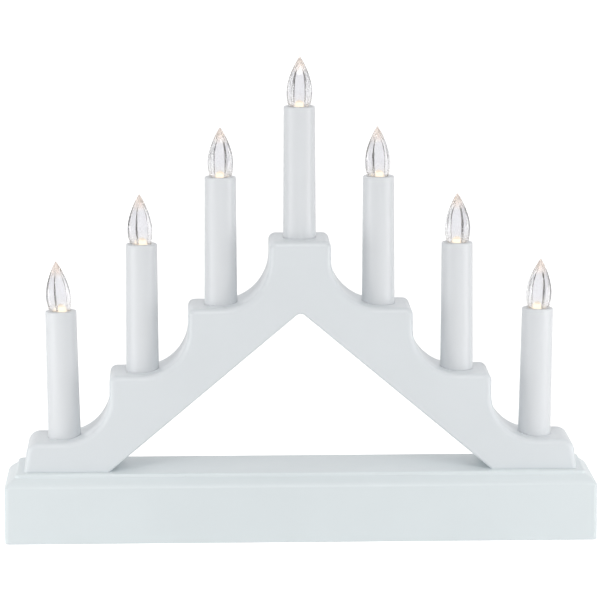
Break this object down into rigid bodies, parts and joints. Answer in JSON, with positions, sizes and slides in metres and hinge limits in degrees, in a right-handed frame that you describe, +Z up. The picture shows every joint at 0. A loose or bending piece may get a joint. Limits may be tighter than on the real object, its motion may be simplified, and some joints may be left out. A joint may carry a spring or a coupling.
{
  "type": "led candle arch",
  "caption": "Free-standing white plastic candle arch: a stepped arch on a plinth carries candle tubes with clear LED flames, run by cells behind a hinged door underneath.",
  "frame": {"origin": "middle of the plinth's underside, on the surface that the arch stands on", "axes": "+X along the row of candles to the right seen from the front, +Y to the back, +Z up"},
  "size_m": [0.29, 0.055, 0.2358],
  "materials": {
    "white_plastic": "satin",
    "candle_plastic": "satin",
    "clear_acrylic": "polished",
    "warm_led": "gloss",
    "cell_sleeve": "satin",
    "spring_steel": "satin",
    "circuit_board": "satin",
    "switch_can": "satin",
    "black_plastic": "matte",
    "red_insulation": "satin",
    "black_insulation": "satin",
    "clear_flex": "gloss",
    "screw_steel": "satin"
  },
  "bodies": {
    "candle_arch": {"base_housing": "white_plastic", "base_bottom_plate": "white_plastic", "arch_front_shell": "white_plastic", "arch_back_cover": "white_plastic", "candle_sleeve_1": "candle_plastic", "flame_lens_1": "clear_acrylic", "led_1": "warm_led", "led_lead_1": "clear_flex", "candle_sleeve_2": "candle_plastic", "flame_lens_2": "clear_acrylic", "led_2": "warm_led", "led_lead_2": "clear_flex", "candle_sleeve_3": "candle_plastic", "flame_lens_3": "clear_acrylic", "led_3": "warm_led", "led_lead_3": "clear_flex", "candle_sleeve_4": "candle_plastic", "flame_lens_4": "clear_acrylic", "led_4": "warm_led", "led_lead_4": "clear_flex", "candle_sleeve_5": "candle_plastic", "flame_lens_5": "clear_acrylic", "led_5": "warm_led", "led_lead_5": "clear_flex", "candle_sleeve_6": "candle_plastic", "flame_lens_6": "clear_acrylic", "led_6": "warm_led", "led_lead_6": "clear_flex", "candle_sleeve_7": "candle_plastic", "flame_lens_7": "clear_acrylic", "led_7": "warm_led", "led_lead_7": "clear_flex", "trunk_wire": "clear_flex", "battery_cell_1": "cell_sleeve", "battery_cell_2": "cell_sleeve", "battery_cell_3": "cell_sleeve", "contact_positive": "spring_steel", "contact_negative": "spring_steel", "bridge_left": "spring_steel", "bridge_right": "spring_steel", "timer_board": "circuit_board", "switch_body": "switch_can", "lead_positive": "red_insulation", "lead_negative": "black_insulation", "base_screw_1": "screw_steel", "base_screw_2": "screw_steel", "base_screw_3": "screw_steel", "base_screw_4": "screw_steel", "cover_screw_1": "screw_steel", "cover_screw_2": "screw_steel", "cover_screw_3": "screw_steel", "cover_screw_4": "screw_steel", "cover_screw_5": "screw_steel", "cover_screw_6": "screw_steel", "foot_screw_left": "screw_steel", "foot_screw_right": "screw_steel"},
    "battery_door": {"battery_door": "white_plastic"},
    "switch_slider": {"switch_slider": "black_plastic"}
  },
  "joints": [
    {"name": "battery_door_hinge", "type": "hinge", "parent": "candle_arch", "child": "battery_door", "pos_m": [0, 0.0219, 0.0014], "axis": [1, 0, 0], "range_deg": [0, 100]},
    {"name": "switch_slide", "type": "slide", "parent": "candle_arch", "child": "switch_slider", "axis": [1, 0, 0], "range_m": [0, 0.004]}
  ]
}
